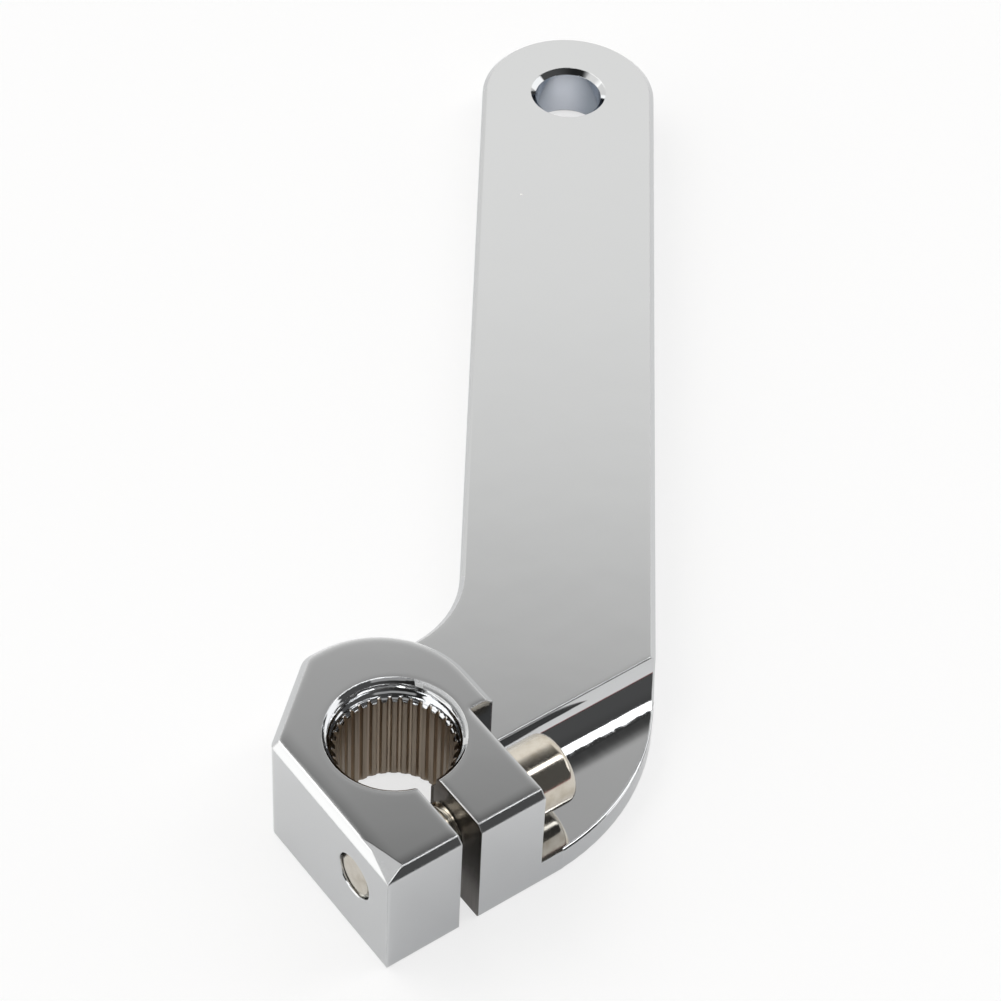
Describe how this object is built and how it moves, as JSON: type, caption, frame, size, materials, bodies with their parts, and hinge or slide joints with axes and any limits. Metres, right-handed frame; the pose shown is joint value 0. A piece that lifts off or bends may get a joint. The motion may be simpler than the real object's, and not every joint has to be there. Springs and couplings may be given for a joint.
{
  "type": "gear shift rod",
  "caption": "Flat chromed motorcycle shift lever with a split serrated shaft clamp, a socket-head pinch bolt and a peg hole at the free end of its arm.",
  "frame": {"origin": "on the serrated bore's axis at the flat back face", "axes": "+Z along the bore out of the clamp's front, +X along the pinch bolt towards its head, the slit opening towards -Y"},
  "size_m": [0.1245, 0.1262, 0.0182],
  "materials": {
    "lever_chrome": "polished chrome plate",
    "bolt_nickel": "bright nickel plate"
  },
  "bodies": {
    "root": {"lever": "lever_chrome", "pinch_bolt": "bolt_nickel"}
  },
  "joints": []
}
